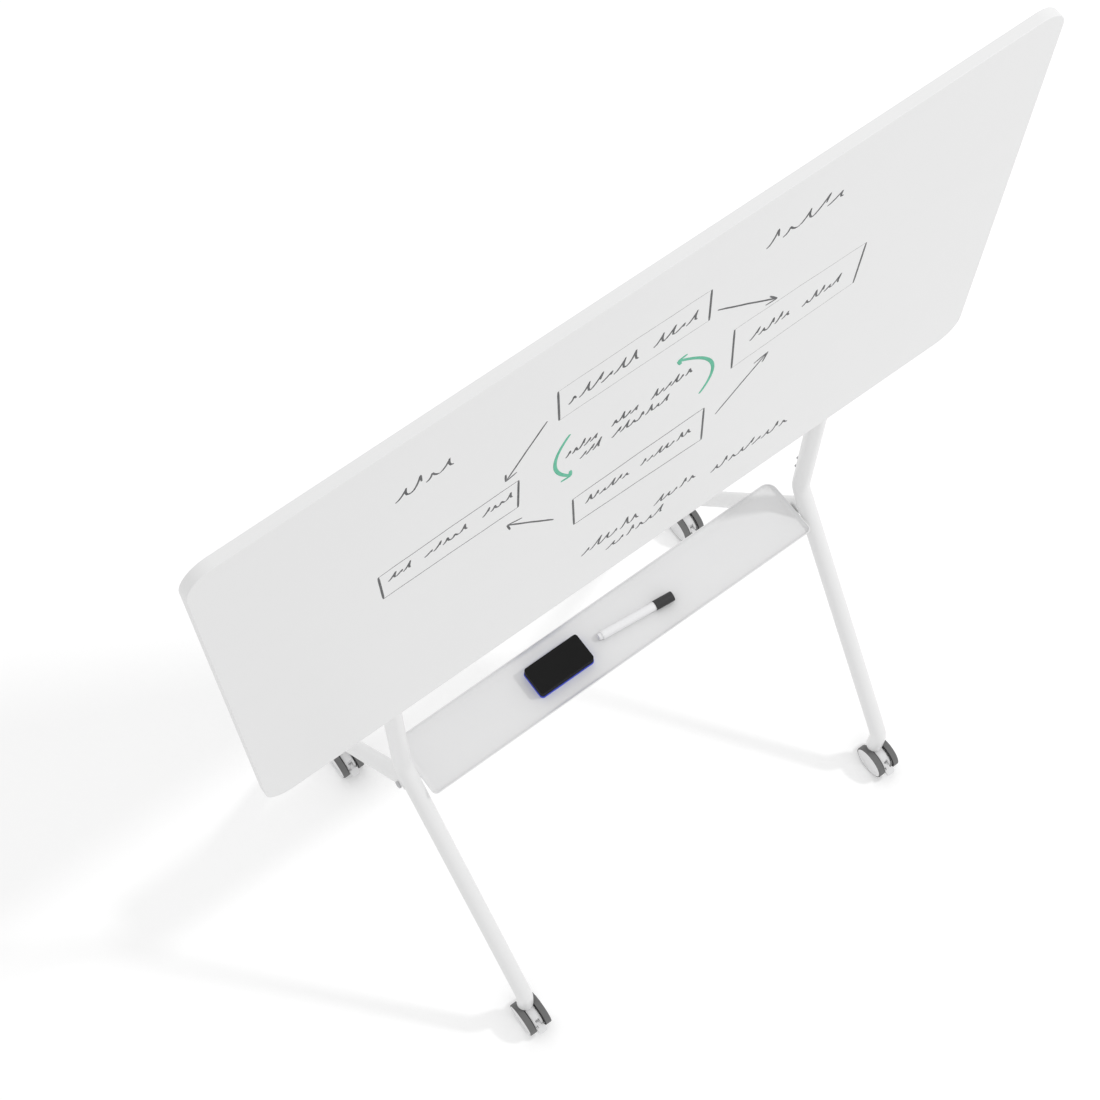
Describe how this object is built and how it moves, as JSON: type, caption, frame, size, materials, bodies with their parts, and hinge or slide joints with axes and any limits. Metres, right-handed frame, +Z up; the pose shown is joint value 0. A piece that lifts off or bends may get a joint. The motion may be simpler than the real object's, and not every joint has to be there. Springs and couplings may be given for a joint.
{
  "type": "mobile whiteboard",
  "caption": "White writing board on a tubular frame with swivel braked casters, a shelf under the board, a board eraser and a capped marker pen.",
  "frame": {"origin": "on the floor, at the plan centre of the whole object", "axes": "+X along the board to the right as seen from its writing side, +Y away from the writing side, +Z up"},
  "size_m": [1.2, 0.6322, 1.7913],
  "materials": {
    "board_face": "glossy white enamel",
    "board_core": "raw board",
    "board_edge": "satin white",
    "frame_paint": "white powder coat",
    "shelf_paint": "white powder coat",
    "grey_fasteners": "grey zinc",
    "steel": "bright steel",
    "white_plastic": "satin white",
    "hub_plastic": "off-white",
    "tyre_rubber": "dark grey",
    "eraser_plastic": "satin black",
    "eraser_felt": "blue felt",
    "marker_plastic": "glossy white",
    "marker_cap_plastic": "satin black",
    "marker_nib": "felt"
  },
  "bodies": {
    "frame": {"panel_front_sheet": "board_face", "panel_core": "board_core", "panel_back_sheet": "board_face", "panel_edge_band": "board_edge", "post_left": "frame_paint", "post_right": "frame_paint", "front_leg_left": "frame_paint", "front_leg_right": "frame_paint", "rear_leg_left": "frame_paint", "rear_leg_right": "frame_paint", "post_spigots": "steel", "post_caps": "white_plastic", "post_screws": "grey_fasteners", "knee_bolts": "grey_fasteners", "knee_nuts": "grey_fasteners", "shelf_hanger_left": "shelf_paint", "shelf_hanger_right": "shelf_paint", "shelf": "shelf_paint", "shelf_rim": "shelf_paint", "panel_clamps": "shelf_paint", "clamp_saddles": "white_plastic", "clamp_screws": "grey_fasteners", "leg_sockets": "white_plastic", "caster_stems": "steel"},
    "marker": {"marker_barrel": "marker_plastic", "marker_plug": "marker_plastic", "marker_nib": "marker_nib"},
    "marker_cap": {"marker_cap": "marker_cap_plastic"},
    "eraser": {"eraser_block": "eraser_plastic", "eraser_felt": "eraser_felt"},
    "front_left_caster": {"front_left_hood": "white_plastic", "front_left_axle": "steel"},
    "front_left_pedal": {"front_left_brake_pedal": "white_plastic"},
    "front_left_wheel_left": {"front_left_hub_left": "hub_plastic", "front_left_tyre_left": "tyre_rubber"},
    "front_left_wheel_right": {"front_left_hub_right": "hub_plastic", "front_left_tyre_right": "tyre_rubber"},
    "front_right_caster": {"front_right_hood": "white_plastic", "front_right_axle": "steel"},
    "front_right_pedal": {"front_right_brake_pedal": "white_plastic"},
    "front_right_wheel_left": {"front_right_hub_left": "hub_plastic", "front_right_tyre_left": "tyre_rubber"},
    "front_right_wheel_right": {"front_right_hub_right": "hub_plastic", "front_right_tyre_right": "tyre_rubber"},
    "rear_left_caster": {"rear_left_hood": "white_plastic", "rear_left_axle": "steel"},
    "rear_left_pedal": {"rear_left_brake_pedal": "white_plastic"},
    "rear_left_wheel_left": {"rear_left_hub_left": "hub_plastic", "rear_left_tyre_left": "tyre_rubber"},
    "rear_left_wheel_right": {"rear_left_hub_right": "hub_plastic", "rear_left_tyre_right": "tyre_rubber"},
    "rear_right_caster": {"rear_right_hood": "white_plastic", "rear_right_axle": "steel"},
    "rear_right_pedal": {"rear_right_brake_pedal": "white_plastic"},
    "rear_right_wheel_left": {"rear_right_hub_left": "hub_plastic", "rear_right_tyre_left": "tyre_rubber"},
    "rear_right_wheel_right": {"rear_right_hub_right": "hub_plastic", "rear_right_tyre_right": "tyre_rubber"}
  },
  "joints": [
    {"name": "front_left_swivel", "type": "hinge", "parent": "frame", "child": "front_left_caster", "pos_m": [-0.383, -0.2611, 0.0575], "axis": [0, 0, 1], "continuous": true},
    {"name": "front_left_wheel_left_spin", "type": "hinge", "parent": "front_left_caster", "child": "front_left_wheel_left", "pos_m": [-0.383, -0.2771, 0.0312], "axis": [1, 0, 0], "continuous": true},
    {"name": "front_left_wheel_right_spin", "type": "hinge", "parent": "front_left_caster", "child": "front_left_wheel_right", "pos_m": [-0.383, -0.2771, 0.0312], "axis": [1, 0, 0], "continuous": true},
    {"name": "front_left_brake", "type": "hinge", "parent": "front_left_caster", "child": "front_left_pedal", "pos_m": [-0.383, -0.2976, 0.0342], "axis": [1, 0, 0], "range_deg": [0, 14]},
    {"name": "front_right_swivel", "type": "hinge", "parent": "frame", "child": "front_right_caster", "pos_m": [0.383, -0.2611, 0.0575], "axis": [0, 0, 1], "continuous": true},
    {"name": "front_right_wheel_left_spin", "type": "hinge", "parent": "front_right_caster", "child": "front_right_wheel_left", "pos_m": [0.383, -0.2771, 0.0312], "axis": [1, 0, 0], "continuous": true},
    {"name": "front_right_wheel_right_spin", "type": "hinge", "parent": "front_right_caster", "child": "front_right_wheel_right", "pos_m": [0.383, -0.2771, 0.0312], "axis": [1, 0, 0], "continuous": true},
    {"name": "front_right_brake", "type": "hinge", "parent": "front_right_caster", "child": "front_right_pedal", "pos_m": [0.383, -0.2976, 0.0342], "axis": [1, 0, 0], "range_deg": [0, 14]},
    {"name": "rear_left_swivel", "type": "hinge", "parent": "frame", "child": "rear_left_caster", "pos_m": [-0.383, 0.3009, 0.0575], "axis": [0, 0, 1], "continuous": true},
    {"name": "rear_left_wheel_left_spin", "type": "hinge", "parent": "rear_left_caster", "child": "rear_left_wheel_left", "pos_m": [-0.383, 0.2849, 0.0312], "axis": [1, 0, 0], "continuous": true},
    {"name": "rear_left_wheel_right_spin", "type": "hinge", "parent": "rear_left_caster", "child": "rear_left_wheel_right", "pos_m": [-0.383, 0.2849, 0.0312], "axis": [1, 0, 0], "continuous": true},
    {"name": "rear_left_brake", "type": "hinge", "parent": "rear_left_caster", "child": "rear_left_pedal", "pos_m": [-0.383, 0.2644, 0.0342], "axis": [1, 0, 0], "range_deg": [0, 14]},
    {"name": "rear_right_swivel", "type": "hinge", "parent": "frame", "child": "rear_right_caster", "pos_m": [0.383, 0.3009, 0.0575], "axis": [0, 0, 1], "continuous": true},
    {"name": "rear_right_wheel_left_spin", "type": "hinge", "parent": "rear_right_caster", "child": "rear_right_wheel_left", "pos_m": [0.383, 0.2849, 0.0312], "axis": [1, 0, 0], "continuous": true},
    {"name": "rear_right_wheel_right_spin", "type": "hinge", "parent": "rear_right_caster", "child": "rear_right_wheel_right", "pos_m": [0.383, 0.2849, 0.0312], "axis": [1, 0, 0], "continuous": true},
    {"name": "rear_right_brake", "type": "hinge", "parent": "rear_right_caster", "child": "rear_right_pedal", "pos_m": [0.383, 0.2644, 0.0342], "axis": [1, 0, 0], "range_deg": [0, 14]},
    {"name": "marker_lift", "type": "slide", "parent": "frame", "child": "marker", "axis": [0, 0, 1], "range_m": [0, 0.12]},
    {"name": "cap_pull", "type": "slide", "parent": "marker", "child": "marker_cap", "axis": [0.9946, -0.1028, 0.0127], "range_m": [0, 0.06]},
    {"name": "eraser_lift", "type": "slide", "parent": "frame", "child": "eraser", "axis": [0, 0, 1], "range_m": [0, 0.12]}
  ]
}
